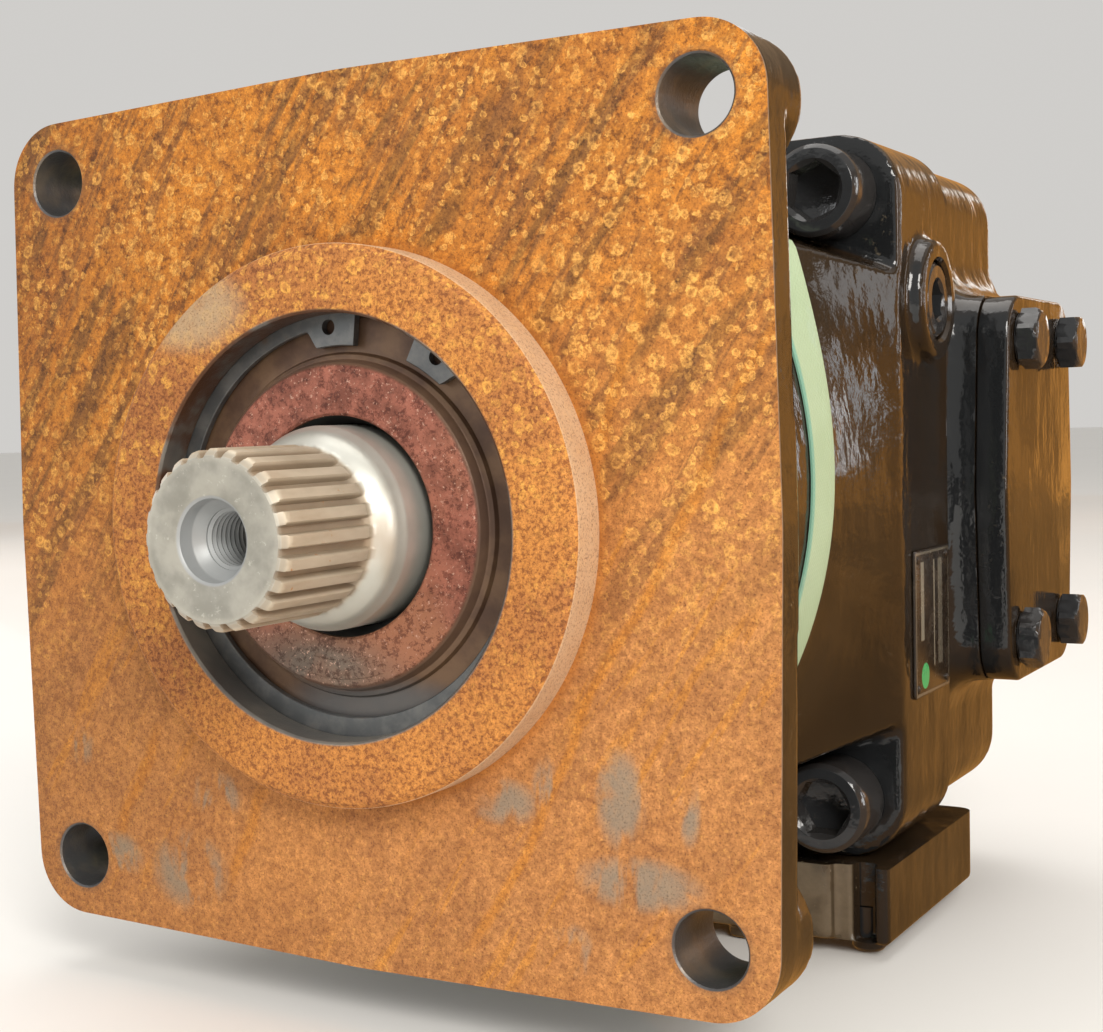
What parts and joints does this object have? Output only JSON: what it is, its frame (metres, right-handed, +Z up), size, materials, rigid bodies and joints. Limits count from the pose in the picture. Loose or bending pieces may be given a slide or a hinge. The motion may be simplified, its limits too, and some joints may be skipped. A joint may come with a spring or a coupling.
{
  "type": "hydraulic motor",
  "caption": "Axial-piston hydraulic motor with a square bolt flange, round pilot, splined shaft, blanked side ports and the full rotating group inside.",
  "frame": {"origin": "bottom centre of the box, on the surface the motor stands on", "axes": "-Y is the shaft end and the flange's mounting face looks that way; +Y runs along the shaft to the rear; +Z is up; +X is the motor's right side seen from behind the shaft end, with the nameplate"},
  "size_m": [0.2966, 0.37, 0.286],
  "materials": {
    "black_paint": "thick gloss black paint over cast iron; the front of the flange is bare and rusted",
    "screw_black": "black screws and plugs, painted over",
    "cover_paint": "gloss black paint over steel",
    "carrier_rust": "steel with a brown film of rust",
    "ring_steel": "phosphated spring steel",
    "shaft_steel": "turned and hobbed steel, lightly stained",
    "bearing_steel": "ground bearing steel",
    "barrel_steel": "machined steel",
    "bronze": "bearing bronze",
    "spring_steel": "spring wire",
    "seal_rubber": "moulded nitrile rubber",
    "strap_green": "embossed green polyester strap",
    "plate_dark": "blank aluminium plate, painted over"
  },
  "bodies": {
    "housing": {"main_housing": "black_paint", "port_block": "black_paint", "housing_screw_1": "screw_black", "housing_screw_2": "screw_black", "housing_screw_3": "screw_black", "housing_screw_4": "screw_black", "port_cover_right": "cover_paint", "port_cover_left": "cover_paint", "cover_bolt_right_1": "screw_black", "cover_bolt_right_2": "screw_black", "cover_bolt_right_3": "screw_black", "cover_bolt_right_4": "screw_black", "cover_bolt_left_1": "screw_black", "cover_bolt_left_2": "screw_black", "cover_bolt_left_3": "screw_black", "cover_bolt_left_4": "screw_black", "port_o_ring_right": "seal_rubber", "port_o_ring_left": "seal_rubber", "housing_o_ring": "seal_rubber", "lower_block": "black_paint", "bottom_plug": "screw_black", "side_plug": "screw_black", "nameplate": "plate_dark", "neck_strap": "strap_green", "seal_carrier": "carrier_rust", "carrier_o_ring": "seal_rubber", "shaft_seal": "seal_rubber", "snap_ring": "ring_steel", "front_bearing_outer": "bearing_steel", "rear_bearing_outer": "bearing_steel", "swash_plate": "bearing_steel", "valve_plate": "bronze"},
    "rotor": {"drive_shaft": "shaft_steel", "cylinder_barrel": "barrel_steel", "retaining_ball": "bronze", "barrel_spring": "spring_steel", "front_bearing_inner": "bearing_steel", "rear_bearing_inner": "bearing_steel"},
    "shoe_plate": {"retaining_plate": "bearing_steel", "slipper_1": "bronze", "slipper_2": "bronze", "slipper_3": "bronze", "slipper_4": "bronze", "slipper_5": "bronze", "slipper_6": "bronze", "slipper_7": "bronze", "slipper_8": "bronze", "slipper_9": "bronze"},
    "front_rollers": {"front_bearing_rollers": "bearing_steel"},
    "rear_rollers": {"rear_bearing_rollers": "bearing_steel"},
    "piston_1_body": {"piston_1": "bearing_steel"},
    "piston_2_body": {"piston_2": "bearing_steel"},
    "piston_3_body": {"piston_3": "bearing_steel"},
    "piston_4_body": {"piston_4": "bearing_steel"},
    "piston_5_body": {"piston_5": "bearing_steel"},
    "piston_6_body": {"piston_6": "bearing_steel"},
    "piston_7_body": {"piston_7": "bearing_steel"},
    "piston_8_body": {"piston_8": "bearing_steel"},
    "piston_9_body": {"piston_9": "bearing_steel"}
  },
  "joints": [
    {"name": "shaft_spin", "type": "hinge", "parent": "housing", "child": "rotor", "pos_m": [0, 0, 0.152], "axis": [0, 1, 0], "continuous": true},
    {"name": "shoe_plate_spin", "type": "hinge", "parent": "housing", "child": "shoe_plate", "pos_m": [0, -0.033, 0.152], "axis": [0, 0.9703, 0.2419], "continuous": true},
    {"name": "front_cage_spin", "type": "hinge", "parent": "housing", "child": "front_rollers", "pos_m": [0, -0.093, 0.152], "axis": [0, 1, 0], "continuous": true},
    {"name": "rear_cage_spin", "type": "hinge", "parent": "housing", "child": "rear_rollers", "pos_m": [0, 0.093, 0.152], "axis": [0, 1, 0], "continuous": true},
    {"name": "piston_1_swivel", "type": "hinge", "parent": "shoe_plate", "child": "piston_1_body", "pos_m": [0, -0.04823, 0.21307], "axis": [0, 0.9703, 0.2419], "continuous": true},
    {"name": "piston_2_swivel", "type": "hinge", "parent": "shoe_plate", "child": "piston_2_body", "pos_m": [-0.04045, -0.04466, 0.19878], "axis": [0, 0.9703, 0.2419], "continuous": true},
    {"name": "piston_3_swivel", "type": "hinge", "parent": "shoe_plate", "child": "piston_3_body", "pos_m": [-0.06198, -0.03564, 0.1626], "axis": [0, 0.9703, 0.2419], "continuous": true},
    {"name": "piston_4_swivel", "type": "hinge", "parent": "shoe_plate", "child": "piston_4_body", "pos_m": [-0.0545, -0.02539, 0.12147], "axis": [0, 0.9703, 0.2419], "continuous": true},
    {"name": "piston_5_swivel", "type": "hinge", "parent": "shoe_plate", "child": "piston_5_body", "pos_m": [-0.02152, -0.01869, 0.09462], "axis": [0, 0.9703, 0.2419], "continuous": true},
    {"name": "piston_6_swivel", "type": "hinge", "parent": "shoe_plate", "child": "piston_6_body", "pos_m": [0.02152, -0.01869, 0.09462], "axis": [0, 0.9703, 0.2419], "continuous": true},
    {"name": "piston_7_swivel", "type": "hinge", "parent": "shoe_plate", "child": "piston_7_body", "pos_m": [0.0545, -0.02539, 0.12147], "axis": [0, 0.9703, 0.2419], "continuous": true},
    {"name": "piston_8_swivel", "type": "hinge", "parent": "shoe_plate", "child": "piston_8_body", "pos_m": [0.06198, -0.03564, 0.1626], "axis": [0, 0.9703, 0.2419], "continuous": true},
    {"name": "piston_9_swivel", "type": "hinge", "parent": "shoe_plate", "child": "piston_9_body", "pos_m": [0.04045, -0.04466, 0.19878], "axis": [0, 0.9703, 0.2419], "continuous": true}
  ],
  "couplings": [
    {"joint": "shoe_plate_spin", "follows": "shaft_spin", "ratio": 1},
    {"joint": "front_cage_spin", "follows": "shaft_spin", "ratio": 0.43174},
    {"joint": "rear_cage_spin", "follows": "shaft_spin", "ratio": 0.43406},
    {"joint": "piston_1_swivel", "follows": "shaft_spin", "ratio": -1},
    {"joint": "piston_2_swivel", "follows": "shaft_spin", "ratio": -1},
    {"joint": "piston_3_swivel", "follows": "shaft_spin", "ratio": -1},
    {"joint": "piston_4_swivel", "follows": "shaft_spin", "ratio": -1},
    {"joint": "piston_5_swivel", "follows": "shaft_spin", "ratio": -1},
    {"joint": "piston_6_swivel", "follows": "shaft_spin", "ratio": -1},
    {"joint": "piston_7_swivel", "follows": "shaft_spin", "ratio": -1},
    {"joint": "piston_8_swivel", "follows": "shaft_spin", "ratio": -1},
    {"joint": "piston_9_swivel", "follows": "shaft_spin", "ratio": -1}
  ]
}
